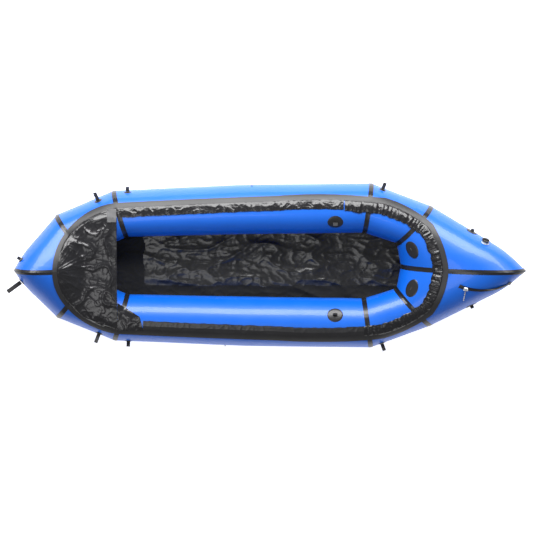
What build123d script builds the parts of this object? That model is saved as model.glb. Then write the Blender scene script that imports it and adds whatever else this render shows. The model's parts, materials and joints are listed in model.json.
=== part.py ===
from build123d import *

import os
from dataclasses import dataclass
from functools import cache
from math import cos, hypot, radians, sin

# Two-person inflatable kayak of the packraft kind, in millimetres.
# +X points to the stern, +Y to starboard, +Z up; the floor rests on z = 0.
# Each side of the boat is a chain of five inflated fabric tubes, joined where their ends are mitred.

os.makedirs("parts", exist_ok=True)

# ---------------------------------------------------------------- fabric and tape
FABRIC = 1.0            # wall of the coated nylon tubes
SEAM_TAPE_WIDTH = 27.0
SEAM_TAPE = (0.3, 1.1)      # lift of the underside and the top side above the tube wall
RIM_TAPE = (1.4, 2.4)
PATCH = (1.4, 2.4)
SKIRT = (2.7, 3.7)
ZIP_TAPE = (1.4, 2.6)
ZIP_TEETH = (2.9, 5.2)
REACH = 700.0           # longer than any tube is wide, used for cutting slabs and searching rays


@dataclass(frozen=True)
class Station:
    """An elliptical cross-section of one tube, standing on the line from outer to inner edge."""
    outer: tuple
    inner: tuple
    height: float
    rise: float
    half_height: float


BOW_TIP = Station((-1422, 0), (-1072, 0), 275, 90, 130)
BOW_SHOULDER = Station((-1374, 87), (-1058, 19), 251, 74, 134)
BOW_CORNER = Station((-1200, 291), (-1025, 63), 168, 8, 139)
BOW_QUARTER = Station((-879, 425), (-806, 165), 148, 0, 139)
MIDSHIP = Station((-150, 458), (-150, 179), 142, 0, 139)
STERN_QUARTER = Station((566, 466), (526, 188), 146, 0, 139)
STERN_CORNER = Station((902, 339), (708, 130), 157, 6, 140)
STERN_TAPER = Station((1310, 105), (729, 34), 228, 92, 140)
STERN_TIP = Station((1422, 0), (736, 0), 250, 108, 136)

PANELS = {
    "bow": (BOW_TIP, BOW_SHOULDER, BOW_CORNER),
    "bow_quarter": (BOW_CORNER, BOW_QUARTER),
    "side": (BOW_QUARTER, MIDSHIP, STERN_QUARTER),
    "stern_quarter": (STERN_QUARTER, STERN_CORNER),
    "stern": (STERN_CORNER, STERN_TAPER, STERN_TIP),
}
SIDES = {"starboard": 1, "port": -1}

# ---------------------------------------------------------------- rim, skirts and deck
RIM_OUTLINE = [         # outer edge of the rim tape, bow to stern: arcs through each three points
    (-1214, 0), (-1185, 140), (-1110, 248), (-1000, 328), (-860, 370), (-374, 393), (31, 408),
    (436, 413), (640, 396), (773, 343), (905, 255), (972, 110), (992, 0),
]
RIM_WIDTH = 30.0
SKIRT_INSETS = (31.0, 85.0)     # the skirt's outer and inner edge, measured from the rim outline
RIM_HEIGHTS = (200.0, 460.0)    # the rim outline only cuts the upper half of the tubes
SKIRTS = {              # for each skirt: the side, its x span and the panels it crosses
    "skirt_starboard": [(1, (-855.0, 413.0), ("bow_quarter", "side"))],
    "skirt_port": [(-1, (-715.0, 530.0), ("side",))],
    "skirt_stern": [
        (1, (415.0, 1000.0), ("side", "stern_quarter", "stern")),
        (-1, (532.0, 1000.0), ("side", "stern_quarter", "stern")),
    ],
}

DECK_SECTIONS = [       # x, then y and z of the edge and of the shoulder, then the height of the crown
    (-857, (341, 281.7), (300, 292.0), 300.0),
    (-1048, (271, 290.5), (215, 306.0), 313.0),
    (-1150, (158, 333.0), (100, 354.5), 373.5),
    (-1181, (40, 384.0), (20, 389.5), 393.5),
]
DECK_FABRIC = 1.2
EDGE_BAND = 28.0        # doubled cloth along the deck's aft edge
EDGE_BAND_LIFT = 1.5
GUSSET = [(-855.5, -192), (-733, -270), (-727, -326), (-855.5, -326)]
GUSSET_HEIGHT = 294.5
TAB_SIZE = (50.0, 74.0, 1.6)
TAB_MIDDLE = (-886, 303, 302.5)
TAB_SLOPE = 11.0        # degrees, falls towards the boat's side like the deck under it

# ---------------------------------------------------------------- floor
FLOOR_EDGE = [          # starboard half of the floor, along the lowest line of the tubes
    (-1150, 0), (-1110, 165), (-842, 290), (-150, 314), (546, 322), (800, 232), (900, 100), (915, 0),
]
FLOOR_PROFILE = [       # side view of the floor's underside
    (-1170, 49), (-1112, 24), (-950, 13.8), (-842, 6), (-430, 0),
    (130, 0), (546, 3.5), (805, 13.5), (930, 28),
]
FLOOR_FABRIC = 1.2
FLOOR_TAPE_INSETS = (-0.8, -28.0)
FLOOR_TAPE_HEIGHTS = (-5.0, 110.0)

# ---------------------------------------------------------------- webbing loops
WEBBING = 1.6
LOOP_DEPTH = 6.4        # outside of the folded loop; its two legs lie 3.2 apart
LOOP_LIFT = 2.8         # underside of a loop above the tube wall


@dataclass
class Fitting:
    """A round patch on a tube and the webbing loop that swings on it."""
    panel: str
    side: int
    aim: tuple          # a point the search ray passes through
    inwards: tuple      # direction of the search ray
    width_along: tuple  # direction that the webbing's width runs in
    patch: tuple        # half-sizes of the patch along and across the webbing's width
    loop: tuple         # width and length of the loop


def pair(name, panel, aim, inwards, width_along, patch, loop):
    """The same fitting on both sides of the boat."""
    both = {}
    for side_name, side in SIDES.items():
        mirrored = [(v[0], side * v[1], v[2]) for v in (aim, inwards, width_along)]
        both[f"{name}_{side_name}"] = Fitting(panel, side, *mirrored, patch, loop)
    return both


DOWN = (0, 0, -1)
FITTINGS = {
    "loop_bow_starboard": Fitting("bow", 1, (-1391, 61, 330), (1, -1, 0), (1, 1, 0), (16, 14), (18, 22)),
    "loop_bow_port": Fitting("bow", -1, (-1391, -66, 320), (1, 1.6, 0), (1, -1, 0), (22, 18), (24, 58)),
    **pair("loop_bow_quarter", "bow_quarter", (-964, 376, 0), DOWN, (1, 0, 0), (22, 18), (20, 55)),
    **pair("loop_side", "side", (-800, 900, 190), (0, -1, 0), (1, 0, 0), (20, 16), (20, 30)),
    **pair("loop_stern_quarter", "stern_quarter", (627, 900, 190), (0, -1, 0), (1, 0, 0), (20, 16),
           (20, 42)),
    **pair("loop_stern", "stern", (1116, 188, 0), DOWN, (1, -0.6, 0), (22, 20), (20, 38)),
    **pair("loop_seat", "side", (362, 262, 0), DOWN, (1, 0, 0), (44, 40), (25, 30)),
    **pair("loop_backrest", "stern", (803, 124, 0), DOWN, (0.5, -0.8, 0), (48, 38), (25, 30)),
}
PATCH_DEPTH = 30.0       # how far a patch's cutter reaches into and out of the tube
PATCH_GROUPS = {"bow": "bow", "bow_quarter": "sides", "side": "sides", "stern_quarter": "sides",
                "stern": "stern", "seat": "seat", "backrest": "seat"}

# ---------------------------------------------------------------- side stubs
STUBS = [("side", 1, (-104, 900, 175), (0, -1, 0)), ("side", -1, (-256, -900, 175), (0, 1, 0))]
STUB = (3.0, 7.0)       # radius and length

# ---------------------------------------------------------------- cargo zip
ZIP_PANEL = ("stern", -1)
ZIP_LINE = [(1050, -80), (1210, -103), (1345, -64)]     # plan arc that the zip follows
ZIP_HEIGHTS = (315.0, 480.0)        # the zip's plan only cuts the top of the stern
ZIP_TAPE_WIDTH = 32.0
ZIP_TEETH_WIDTH = 7.0
DOCK_WIDTH = 18.0
ZIP_DOCK_SHARES = [(0.02, 0.075), (0.925, 0.98)]        # shares of the zip's length
ZIP_TEETH_SHARE = (0.085, 0.915)
SLIDER_SHARES = (0.13, 0.40)        # where the slider rests, and the end of its straight travel
DOCK_LAYER = (2.9, 8.0)
SLIDER = (26.0, 22.0)
SLIDER_HEIGHTS = (5.4, 8.5, 14.0)   # foot, roof of the channel, top
SLIDER_CHANNEL = 14.8
PULL_ROOT = (0.0, -15.6, 13.0)      # hinge of the pull, from the slider's middle
PULL_RISE = 16.0        # degrees that the resting pull stands off the slider's plane
PULL_ROD = 1.6
PULL_LENGTH = 62.0
PULL_BEAD = 3.8
PULL_BEADS = 5

# ---------------------------------------------------------------- inflation valve
VALVE_SPOT = ("stern", 1, (1192, 900, 312), (0, -1, 0))
VALVE_BASE = 34.0
VALVE_BODY = (20.0, 14.0)           # outer and inner radius
VALVE_BODY_HEIGHTS = (3.0, 20.0)
CAP = (22.0, 20.4, 29.0)            # radius, underside and top
CAP_PLUG = (13.0, 12.0)             # radius and lowest point of the plug
CAP_GRIP = (36.0, 7.0, 5.0)
TETHER = (25.0, 20.6, 9.0, 10.8)     # outer and inner radius, underside and top
TETHER_TAIL = (16.0, 9.0)
DIAPHRAGM = (13.6, 3.4, 4.6)        # radius, underside and top


def section_plane(station, side):
    """Plane of a station: x runs to the outer edge, z along the tube towards the stern."""
    across = Vector(
        (station.outer[0] - station.inner[0]) / 2,
        side * (station.outer[1] - station.inner[1]) / 2,
        station.rise,
    )
    middle = (
        (station.outer[0] + station.inner[0]) / 2,
        side * (station.outer[1] + station.inner[1]) / 2,
        station.height,
    )
    along = Vector(across.Y, -across.X, 0) * side
    return Plane(origin=middle, x_dir=across, z_dir=along)


def half_width(station):
    """Half of the tube's width at a station, measured along its sloping section line."""
    span = (station.outer[0] - station.inner[0], station.outer[1] - station.inner[1], 2 * station.rise)
    return hypot(*span) / 2


def stretches(panel):
    """The pairs of neighbouring stations along a panel."""
    return zip(PANELS[panel], PANELS[panel][1:])


@cache
def tube(ends, side, lift):
    """The full body of a tube between two stations, its skin moved outwards by lift."""
    with BuildPart() as body:
        for station in ends:
            with BuildSketch(section_plane(station, -1)):
                Ellipse(half_width(station) + lift, station.half_height + lift)
        loft(ruled=True)
        if side == 1:
            mirror(about=Plane.XZ, mode=Mode.REPLACE)
    return body.part


@cache
def sleeve(panel, side, layer):
    """A layer of cloth that lies on a tube panel, open at both ends."""
    underside, top = layer
    with BuildPart() as cloth:
        for ends in stretches(panel):
            add(tube(ends, -1, top) - tube(ends, -1, underside))
        if side == 1:
            mirror(about=Plane.XZ, mode=Mode.REPLACE)
    return cloth.part


def finish(shape, label):
    """Name a piece and write its STEP file."""
    shape.label = label
    export_step(shape, f"parts/{label}.step")


# ---------------------------------------------------------------- hull tubes
for panel in PANELS:
    for side_name, side in SIDES.items():
        finish(sleeve(panel, side, (-FABRIC, 0)), f"hull_{panel}_{side_name}")


# ---------------------------------------------------------------- seam tapes
def seam_band(panel, side, plane):
    """The part of a panel's tape layer that lies next to one seam."""
    with BuildPart() as band:
        add(sleeve(panel, side, SEAM_TAPE))
        with BuildSketch(plane.offset(-SEAM_TAPE_WIDTH / 2)):
            Rectangle(2 * REACH, 2 * REACH)
        extrude(amount=SEAM_TAPE_WIDTH, mode=Mode.INTERSECT)
    return band.part


def seam_tape(panels_and_sides, station, side):
    """A tape that goes round the hull over one mitred seam."""
    plane = section_plane(station, side)
    with BuildPart() as tape:
        for panel, panel_side in panels_and_sides:
            add(seam_band(panel, panel_side, plane))
    return tape.part


SIDE_SEAMS = {
    "bow_corner": ("bow", "bow_quarter", BOW_CORNER),
    "bow_quarter": ("bow_quarter", "side", BOW_QUARTER),
    "stern_quarter": ("side", "stern_quarter", STERN_QUARTER),
    "stern_corner": ("stern_quarter", "stern", STERN_CORNER),
}
for seam, (forward, aft, station) in SIDE_SEAMS.items():
    for side_name, side in SIDES.items():
        tape = seam_tape([(forward, side), (aft, side)], station, side)
        finish(tape, f"seam_tape_{seam}_{side_name}")
finish(seam_tape([("bow", 1), ("bow", -1)], BOW_TIP, 1), "seam_tape_bow")
finish(seam_tape([("stern", 1), ("stern", -1)], STERN_TIP, 1), "seam_tape_stern")


# ---------------------------------------------------------------- rim tape and skirts
def rim_outline(inset):
    """The face inside the rim outline, drawn in by inset."""
    with BuildSketch() as face:
        with BuildLine():
            for start, middle, end in zip(RIM_OUTLINE[::2], RIM_OUTLINE[1::2], RIM_OUTLINE[2::2]):
                ThreePointArc(start, middle, end)
            mirror(about=Plane.XZ)
        make_face()
        if inset:
            offset(amount=-inset, mode=Mode.REPLACE)
    return face.sketch


def upright_ring(outer_face, inner_face, heights, x_span, y_span):
    """The upright wall between two plan faces, kept inside a plan rectangle."""
    with BuildPart() as ring:
        with BuildSketch(Plane.XY.offset(heights[0])):
            add(outer_face)
            add(inner_face, mode=Mode.SUBTRACT)
            with Locations(((x_span[0] + x_span[1]) / 2, (y_span[0] + y_span[1]) / 2)):
                Rectangle(x_span[1] - x_span[0], y_span[1] - y_span[0], mode=Mode.INTERSECT)
        extrude(amount=heights[1] - heights[0])
    return ring.part


def cloth_inside(cutter, layer, panels, side):
    """The cloth of one layer, over the named panels of one side, that lies inside a cutter."""
    underside, top = layer
    with BuildPart() as cloth:
        for panel in panels:
            for ends in stretches(panel):
                solid = cutter & tube(ends, side, top)
                if solid.solids():
                    add(solid - tube(ends, side, underside))
    return cloth.part


def cloth_all_round(cutter, layer):
    """The cloth of one layer that lies inside a cutter, over the whole hull."""
    with BuildPart() as cloth:
        for side in SIDES.values():
            add(cloth_inside(cutter, layer, PANELS, side))
    return cloth.part


WHOLE_LENGTH = (-2 * REACH, 2 * REACH)
rim_ring = upright_ring(rim_outline(0), rim_outline(RIM_WIDTH), RIM_HEIGHTS, WHOLE_LENGTH, (-REACH, REACH))
finish(cloth_all_round(rim_ring, RIM_TAPE), "rim_tape")


skirt_faces = [rim_outline(inset) for inset in SKIRT_INSETS]
for name, runs in SKIRTS.items():
    with BuildPart() as skirt:
        for side, x_span, panels in runs:
            ring = upright_ring(*skirt_faces, RIM_HEIGHTS, x_span, sorted((0, side * REACH)))
            add(cloth_inside(ring, SKIRT, panels, side))
    finish(skirt.part, name)


# ---------------------------------------------------------------- bow deck
def deck_section(section, lift, thickness):
    """One upright cross-section of the deck cloth, ready to loft."""
    x, edge, shoulder, crown = section
    with BuildSketch(Plane(origin=(x, 0, lift), x_dir=(0, 1, 0), z_dir=(1, 0, 0))) as outline:
        with BuildLine():
            for height in (0, thickness):
                Spline(
                    (-edge[0], edge[1] + height),
                    (-shoulder[0], shoulder[1] + height),
                    (0, crown + height),
                    (shoulder[0], shoulder[1] + height),
                    (edge[0], edge[1] + height),
                )
            for end in (-edge[0], edge[0]):
                Line((end, edge[1]), (end, edge[1] + thickness))
        make_face()
    return outline.sketch


def deck_sheet(sections, lift, thickness):
    """Deck cloth lofted through its cross-sections."""
    with BuildPart() as sheet:
        for ends in zip(sections, sections[1:]):
            loft([deck_section(section, lift, thickness).face() for section in ends], ruled=True)
    return sheet.part


def blend_sections(first, second, share):
    """The deck cross-section that lies between two others."""
    def mix(a, b):
        return a + (b - a) * share

    return (
        mix(first[0], second[0]),
        tuple(mix(a, b) for a, b in zip(first[1], second[1])),
        tuple(mix(a, b) for a, b in zip(first[2], second[2])),
        mix(first[3], second[3]),
    )


finish(deck_sheet(DECK_SECTIONS, 0, DECK_FABRIC), "bow_deck")

band_share = EDGE_BAND / (DECK_SECTIONS[0][0] - DECK_SECTIONS[1][0])
band_sections = [DECK_SECTIONS[0], blend_sections(DECK_SECTIONS[0], DECK_SECTIONS[1], band_share)]
finish(deck_sheet(band_sections, EDGE_BAND_LIFT, DECK_FABRIC), "deck_edge_band")

with BuildPart() as gusset:
    with BuildSketch(Plane.XY.offset(GUSSET_HEIGHT)):
        with BuildLine():
            Polyline(GUSSET, close=True)
        make_face()
    extrude(amount=DECK_FABRIC)
finish(gusset.part, "deck_gusset")

with BuildPart() as tab:
    with BuildSketch(Plane(origin=TAB_MIDDLE).rotated((-TAB_SLOPE, 0, 0))):
        RectangleRounded(TAB_SIZE[0], TAB_SIZE[1], 8)
    extrude(amount=TAB_SIZE[2])
finish(tab.part, "deck_tab")


# ---------------------------------------------------------------- floor
def floor_outline(inset):
    """The floor's plan face, drawn in by inset."""
    with BuildSketch() as face:
        with BuildLine():
            starboard_edge = Polyline(FLOOR_EDGE)
            mirror(starboard_edge, about=Plane.XZ)
        make_face()
        if inset:
            offset(amount=-inset, mode=Mode.REPLACE)
    return face.sketch


with BuildPart() as floor:
    with BuildSketch(Plane.XZ.offset(-REACH)):
        with BuildLine():
            Polyline(FLOOR_PROFILE)
            Polyline([(x, z + FLOOR_FABRIC) for x, z in FLOOR_PROFILE])
            for x, z in (FLOOR_PROFILE[0], FLOOR_PROFILE[-1]):
                Line((x, z), (x, z + FLOOR_FABRIC))
        make_face()
    extrude(amount=2 * REACH)
    with BuildSketch():
        add(floor_outline(0))
    extrude(amount=REACH, both=True, mode=Mode.INTERSECT)
finish(floor.part, "floor")

floor_faces = [floor_outline(inset) for inset in FLOOR_TAPE_INSETS]
floor_ring = upright_ring(floor_faces[1], floor_faces[0], FLOOR_TAPE_HEIGHTS, WHOLE_LENGTH, (-REACH, REACH))
finish(cloth_all_round(floor_ring, RIM_TAPE), "floor_tape")


# ---------------------------------------------------------------- patches and webbing loops
def surface_plane(panel, side, aim, inwards, x_along):
    """Plane on a tube's skin: z points out of the hull and x follows x_along as closely as it can."""
    start = Vector(aim) - Vector(inwards).normalized() * REACH
    hits = []
    for ends in stretches(panel):
        hits += tube(ends, side, 0).find_intersection_points(Axis(start, inwards))
    spot, normal = min(hits, key=lambda hit: (hit[0] - start).length)
    x_dir = Vector(x_along) - normal * Vector(x_along).dot(normal)
    return Plane(origin=spot, x_dir=x_dir, z_dir=normal)


def round_patch(plane, half_sizes, panel, side):
    """A piece of the patch layer cut round a point on a tube's skin."""
    with BuildPart() as cutter:
        with BuildSketch(plane.offset(-PATCH_DEPTH)):
            Ellipse(*half_sizes)
        extrude(amount=2 * PATCH_DEPTH)
    return cloth_inside(cutter.part, PATCH, [panel], side)


def oval_patch(fitting):
    """The round piece of cloth that a loop is sewn to."""
    plane = surface_plane(fitting.panel, fitting.side, fitting.aim, fitting.inwards, fitting.width_along)
    return round_patch(plane, fitting.patch, fitting.panel, fitting.side)


def loop_plane(fitting):
    """Plane through a loop's pivot: x points out of the hull, z along the webbing's width."""
    base = surface_plane(fitting.panel, fitting.side, fitting.aim, fitting.inwards, fitting.width_along)
    pivot = base.origin + base.z_dir * (LOOP_LIFT + LOOP_DEPTH / 2)
    return Plane(origin=pivot, x_dir=base.z_dir, z_dir=base.x_dir)


def webbing_loop(fitting):
    """A strip of webbing folded into a flat loop that stands on its patch."""
    width, length = fitting.loop
    with BuildPart() as loop:
        with BuildSketch(loop_plane(fitting)):
            with Locations(((length - LOOP_DEPTH) / 2, 0)):
                SlotOverall(length, LOOP_DEPTH)
                SlotOverall(length - 2 * WEBBING, LOOP_DEPTH - 2 * WEBBING, mode=Mode.SUBTRACT)
        extrude(amount=width / 2, both=True)
    return loop.part


patches = {}
for name, fitting in FITTINGS.items():
    place = name.removeprefix("loop_").removesuffix("_starboard").removesuffix("_port")
    patches.setdefault(PATCH_GROUPS[place], []).append(oval_patch(fitting))
    finish(webbing_loop(fitting), name)
for group, pieces in patches.items():
    with BuildPart() as patch_group:
        add(pieces)
    finish(patch_group.part, f"patches_{group}")

with BuildPart() as stubs:
    for panel, side, aim, inwards in STUBS:
        with BuildSketch(surface_plane(panel, side, aim, inwards, (1, 0, 0)).offset(0.4)):
            Circle(STUB[0])
        extrude(amount=STUB[1])
finish(stubs.part, "side_stubs")


# ---------------------------------------------------------------- cargo zip
with BuildLine() as zip_path:
    zip_arc = ThreePointArc(*ZIP_LINE)


def zip_spot(share):
    """Plane on the stern's skin at a share of the zip's length, x roughly along the zip."""
    x, y, _ = zip_arc @ share
    return surface_plane(*ZIP_PANEL, (x, y, 0), DOWN, (1, 0, 0))


def zip_strip(layer, shares, width):
    """Pieces of one layer that lie along stretches of the zip."""
    strip = []
    for start, end in shares:
        with BuildPart() as cutter:
            with BuildSketch(Plane.XY.offset(ZIP_HEIGHTS[0])):
                with BuildLine():
                    ThreePointArc(zip_arc @ start, zip_arc @ ((start + end) / 2), zip_arc @ end)
                trace(line_width=width)
            extrude(amount=ZIP_HEIGHTS[1] - ZIP_HEIGHTS[0])
        panel, side = ZIP_PANEL
        strip.append(cloth_inside(cutter.part, layer, [panel], side))
    with BuildPart() as joined:
        add(strip)
    return joined.part


finish(zip_strip(ZIP_TAPE, [(0, 1)], ZIP_TAPE_WIDTH), "zip_tape")
finish(zip_strip(ZIP_TEETH, [ZIP_TEETH_SHARE], ZIP_TEETH_WIDTH), "zip_teeth")
finish(zip_strip(DOCK_LAYER, ZIP_DOCK_SHARES, DOCK_WIDTH), "zip_docks")

rest_spot, end_spot = (zip_spot(share) for share in SLIDER_SHARES)
zip_plane = Plane(
    origin=(rest_spot.origin + end_spot.origin) / 2,
    x_dir=end_spot.origin - rest_spot.origin,
    z_dir=rest_spot.z_dir + end_spot.z_dir,
)
TRAVEL = (end_spot.origin - rest_spot.origin).length
slider_plane = zip_plane.shift_origin(zip_plane.origin - zip_plane.x_dir * (TRAVEL / 2))
foot, roof, top = SLIDER_HEIGHTS
with BuildPart() as slider:
    with BuildSketch(slider_plane.offset(foot)):
        RectangleRounded(SLIDER[0], SLIDER[1], 4)
    extrude(amount=top - foot)
    with BuildSketch(slider_plane.offset(foot)):
        Rectangle(2 * SLIDER[0], SLIDER_CHANNEL)
    extrude(amount=roof - foot, mode=Mode.SUBTRACT)
    fillet(slider.faces().sort_by(Axis(slider_plane.origin, slider_plane.z_dir))[-1].edges(), 2)
finish(slider.part, "zip_slider")

with BuildPart() as pull:
    pull_origin = slider_plane.from_local_coords(PULL_ROOT)
    rise = radians(PULL_RISE)
    pull_line = slider_plane.z_dir * sin(rise) - slider_plane.y_dir * cos(rise)
    with BuildSketch(Plane(origin=pull_origin, x_dir=slider_plane.x_dir, z_dir=pull_line)):
        Circle(PULL_ROD)
    extrude(amount=PULL_LENGTH)
    for bead in range(PULL_BEADS):
        along = PULL_LENGTH * (bead + 1) / PULL_BEADS - PULL_BEAD
        with Locations(Plane(pull_origin + pull_line * along)):
            Sphere(PULL_BEAD)
finish(pull.part, "zip_pull")


# ---------------------------------------------------------------- inflation valve
valve_plane = surface_plane(*VALVE_SPOT, (1, 0, 0))


def valve_ring(outer, inner, underside, top):
    """A flat ring, or a disc where inner is nought, on the valve's axis."""
    with BuildPart() as ring:
        with BuildSketch(valve_plane.offset(underside)):
            Circle(outer)
            if inner:
                Circle(inner, mode=Mode.SUBTRACT)
        extrude(amount=top - underside)
    return ring.part


finish(round_patch(valve_plane, (VALVE_BASE, VALVE_BASE), *VALVE_SPOT[:2]), "valve_base")
finish(valve_ring(*VALVE_BODY, *VALVE_BODY_HEIGHTS), "valve_body")
finish(valve_ring(DIAPHRAGM[0], 0, *DIAPHRAGM[1:]), "valve_diaphragm")

with BuildPart() as cap:
    add(valve_ring(CAP[0], 0, *CAP[1:]))
    fillet(cap.edges().filter_by(GeomType.CIRCLE), 1.5)
    add(valve_ring(CAP_PLUG[0], 0, CAP_PLUG[1], CAP[1] + 1))
    with BuildSketch(valve_plane.offset(CAP[2] - 1)):
        RectangleRounded(CAP_GRIP[0], CAP_GRIP[1], 3)
    extrude(amount=CAP_GRIP[2] + 1)
finish(cap.part, "valve_cap")

with BuildPart() as tether:
    add(valve_ring(*TETHER))
    with BuildSketch(valve_plane.offset(TETHER[2])):
        with Locations((-TETHER[0] - TETHER_TAIL[0] / 2 + 2, 0)):
            SlotOverall(TETHER_TAIL[0], TETHER_TAIL[1])
    extrude(amount=TETHER[3] - TETHER[2])
finish(tether.part, "valve_tether")
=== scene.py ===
import json
from cmath import exp as turned
from cmath import phase
from math import cos, hypot, pi, radians, sin

import bpy
import numpy as np
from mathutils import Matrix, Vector, noise
from mathutils.bvhtree import BVHTree


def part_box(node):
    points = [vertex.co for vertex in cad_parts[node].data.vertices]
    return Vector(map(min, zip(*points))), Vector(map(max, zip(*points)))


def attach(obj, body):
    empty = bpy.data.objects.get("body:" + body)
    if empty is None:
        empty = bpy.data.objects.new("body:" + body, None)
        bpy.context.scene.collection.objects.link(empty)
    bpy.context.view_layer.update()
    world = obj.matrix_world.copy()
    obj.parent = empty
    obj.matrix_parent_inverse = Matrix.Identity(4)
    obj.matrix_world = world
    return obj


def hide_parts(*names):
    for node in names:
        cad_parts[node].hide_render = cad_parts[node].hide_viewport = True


# Looks of the two-person packraft. Metres, in the frame's own axes:
# +X to the stern, +Y to starboard, +Z up, with the floor resting on z = 0.

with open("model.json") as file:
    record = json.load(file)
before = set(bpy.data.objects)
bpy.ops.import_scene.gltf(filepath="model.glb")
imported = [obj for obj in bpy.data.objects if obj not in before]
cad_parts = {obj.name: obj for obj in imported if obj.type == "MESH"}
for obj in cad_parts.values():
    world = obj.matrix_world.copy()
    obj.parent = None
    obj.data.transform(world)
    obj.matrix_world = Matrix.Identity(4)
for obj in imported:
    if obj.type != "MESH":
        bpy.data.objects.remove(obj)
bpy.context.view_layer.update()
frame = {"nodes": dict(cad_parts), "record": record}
record = frame["record"]
noise.seed_set(7)

# ---------------------------------------------------------------- tubes
STATIONS = {            # outer and inner edge in plan, then height, rise and half height
    "bow_tip": ((-1.422, 0.0), (-1.072, 0.0), 0.275, 0.090, 0.130),
    "bow_shoulder": ((-1.374, 0.087), (-1.058, 0.019), 0.251, 0.074, 0.134),
    "bow_corner": ((-1.200, 0.291), (-1.025, 0.063), 0.168, 0.008, 0.139),
    "bow_quarter": ((-0.879, 0.425), (-0.806, 0.165), 0.148, 0.0, 0.139),
    "midship": ((-0.150, 0.458), (-0.150, 0.179), 0.142, 0.0, 0.139),
    "stern_quarter": ((0.566, 0.466), (0.526, 0.188), 0.146, 0.0, 0.139),
    "stern_corner": ((0.902, 0.339), (0.708, 0.130), 0.157, 0.006, 0.140),
    "stern_taper": ((1.310, 0.105), (0.729, 0.034), 0.228, 0.092, 0.140),
    "stern_tip": ((1.422, 0.0), (0.736, 0.0), 0.250, 0.108, 0.136),
}
PANELS = {
    "bow": ("bow_tip", "bow_shoulder", "bow_corner"),
    "bow_quarter": ("bow_corner", "bow_quarter"),
    "side": ("bow_quarter", "midship", "stern_quarter"),
    "stern_quarter": ("stern_quarter", "stern_corner"),
    "stern": ("stern_corner", "stern_taper", "stern_tip"),
}
SIDES = {"starboard": 1, "port": -1}
SEAM_WIDTH = 0.027
SEAM_LIFT = 0.0008
PUCKER = 0.0004         # height of the fine puckers beside a seam
PUCKER_REACH = 0.030
PUCKERS_ROUND = 46      # puckers all round a tube
PUCKER_DRIFT = (3, 5)   # how far their spacing drifts, and how often round the tube
UNEVEN = 0.0009         # slow waviness of the inflated cloth
UNEVEN_SCALE = 6.0
NOISE_ROWS = {"wander": 8.3, "gathers": 3.1, "fan": 1.7}    # apart in the noise, so none repeats another
BLEND = 0.07            # distance over which the bend at a panel's middle station is rounded
BLEND_PARTS = np.linspace(-1, 1, 9)
SKIN_STEP = 0.001       # step over which the surface's slope is measured
SEAM_PROBE = 0.004      # how far from a seam the tube's slope beside it is measured
HULL_ROWS = 90
HULL_COLUMNS = 128
SEAM_ROWS = 5
ARC_POINTS = 40         # points on each arc of the rim

# ---------------------------------------------------------------- rim, skirts and deck
RIM_ARCS = [            # outer edge of the rim tape: arcs through each three points, bow to stern
    (-1.214, 0.0), (-1.185, 0.140), (-1.110, 0.248), (-1.000, 0.328), (-0.860, 0.370),
    (-0.374, 0.393), (0.031, 0.408), (0.436, 0.413), (0.640, 0.396), (0.773, 0.343),
    (0.905, 0.255), (0.972, 0.110), (0.992, 0.0),
]
RIM_WIDTH = 0.030
RIM_LIFT = 0.0022
RIM_STEP = 0.006
RIM_COLUMNS = 6
SKIRT_EDGES = {         # distances of a skirt's two edges from the rim's outer edge
    "skirt_starboard": (0.029, 0.078),
    "skirt_stern": (0.029, 0.087),
    "skirt_port": (0.029, 0.085),
}
SKIRT_WANDER = {"skirt_starboard": 0.003, "skirt_stern": 0.010, "skirt_port": 0.003}
SKIRT_LIFT = 0.0036
SKIRT_STEP = 0.003
SKIRT_COLUMNS = 22
SKIRT_CREASES = [(0.0034, 24, 2.5), (0.0014, 60, 2.0)]  # layers of height, scale and sharpness
SKIRT_CREASED = {"skirt_starboard": 1.0, "skirt_stern": 0.7, "skirt_port": 0.35}
SKIRT_EDGE_LOOSE = 0.2  # share of the creases' height that is left at a skirt's free edge
WANDER_PACE = 0.09
GATHER_HEIGHT = 0.0080
GATHER_PACE = 55        # how fast the gathers follow each other along the stern skirt
PIPING_HEIGHT = 0.0012  # a raised line along the middle of the port skirt
PIPING_WIDTH = 0.08
SKIRT_RUNS = {          # where each skirt starts and ends: x and side
    "skirt_starboard": ((-0.855, 1), (0.413, 1)),
    "skirt_stern": ((0.415, 1), (0.532, -1)),
    "skirt_port": ((0.530, -1), (-0.715, -1)),
}
DECK_AFT = -0.857
DECK_TUCK = 0.024       # how far the deck's edge lies inside the rim outline
DECK_STEP = 0.004
DECK_ROWS = 110
DECK_LIFT = 0.0012      # least height of the deck over the tubes
DECK_LEVEL = 0.28       # height of a point beside the deck that has nothing under it
DECK_SMOOTHING = 30
DECK_CREASES = [(0.0070, 10, 2.5), (0.0016, 30, 2.4)]
DECK_HELD = 0.08        # share of the deck over which its folds grow from the sewn edge
DECK_HEM = (0.25, 0.05)  # share of the folds left at its aft edge, and the share over which they grow
FAN_APEX = 0.01         # from the rim's bow end to the point that the folds fan out from
FAN_HEIGHT = 0.0050     # folds that fan out from the bow end of the deck
FAN_FADE = 0.25
FAN_PACE = (5.5, 3.0)   # how fast they change round the fan and away from it
FAN_SHARPNESS = 3.0
BAND_WIDTH = 0.028
BAND_ROWS = 8
BAND_LIFT = 0.0016
BAND_SETBACK = 0.0015   # from the deck's aft edge to the band
BAND_SPAN = 0.975       # share of the aft edge that the band covers
GUSSET = [(-0.8575, -0.190), (-0.733, -0.270), (-0.712, -0.352), (-0.8575, -0.346)]
GUSSET_HEIGHT = 0.2945
GUSSET_GRID = (44, 46)
GUSSET_LIFT = 0.004
GUSSET_CREASES = [(0.0030, 30, 2.2)]
TAB_GRID = (18, 26)
TAB_LIFT = 0.004
TAB_THICKNESS = 0.0014
TAB_SMOOTHING = 12

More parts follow.
